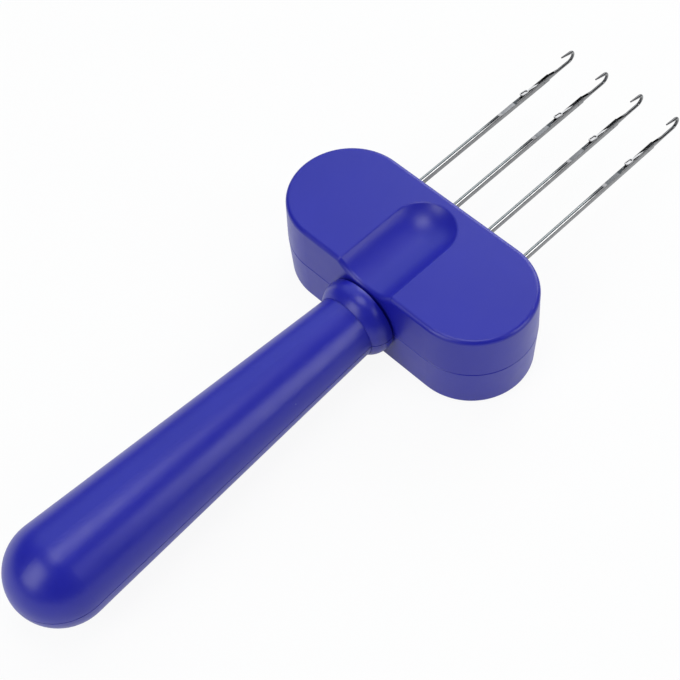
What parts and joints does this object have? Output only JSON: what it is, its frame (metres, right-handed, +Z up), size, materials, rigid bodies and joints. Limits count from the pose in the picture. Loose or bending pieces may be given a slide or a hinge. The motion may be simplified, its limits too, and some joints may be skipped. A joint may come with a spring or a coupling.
{
  "type": "i-cord maker",
  "caption": "Hand-held i-cord maker: latch needles side by side in a round-ended head, on a tapered handle with a ball end.",
  "frame": {"origin": "centre of the head's flat underside, which the tool rests on", "axes": "+X along the needles towards the hooks, +Y across the needles, +Z up out of the head's top face"},
  "size_m": [0.2269, 0.0804, 0.0284],
  "materials": {
    "blue_plastic": "moulded, semi-gloss royal blue",
    "needle_steel": "polished, nickel-plated steel",
    "screw_steel": "zinc-plated steel"
  },
  "bodies": {
    "tool": {"head_upper_shell": "blue_plastic", "head_lower_shell": "blue_plastic", "neck_collar": "blue_plastic", "handle_upper_shell": "blue_plastic", "handle_lower_shell": "blue_plastic", "head_screws": "screw_steel", "needle_1": "needle_steel", "latch_pin_1": "needle_steel", "needle_2": "needle_steel", "latch_pin_2": "needle_steel", "needle_3": "needle_steel", "latch_pin_3": "needle_steel", "needle_4": "needle_steel", "latch_pin_4": "needle_steel"},
    "latch_1": {"latch_1": "needle_steel"},
    "latch_2": {"latch_2": "needle_steel"},
    "latch_3": {"latch_3": "needle_steel"},
    "latch_4": {"latch_4": "needle_steel"}
  },
  "joints": [
    {"name": "latch_1_hinge", "type": "hinge", "parent": "tool", "child": "latch_1", "pos_m": [0.07735, 0.0195, 0.01449], "axis": [0, 1, 0], "range_deg": [0, 139.5]},
    {"name": "latch_2_hinge", "type": "hinge", "parent": "tool", "child": "latch_2", "pos_m": [0.07735, 0.0065, 0.01449], "axis": [0, 1, 0], "range_deg": [0, 139.5]},
    {"name": "latch_3_hinge", "type": "hinge", "parent": "tool", "child": "latch_3", "pos_m": [0.07735, -0.0065, 0.01449], "axis": [0, 1, 0], "range_deg": [0, 139.5]},
    {"name": "latch_4_hinge", "type": "hinge", "parent": "tool", "child": "latch_4", "pos_m": [0.07735, -0.0195, 0.01449], "axis": [0, 1, 0], "range_deg": [0, 139.5]}
  ]
}
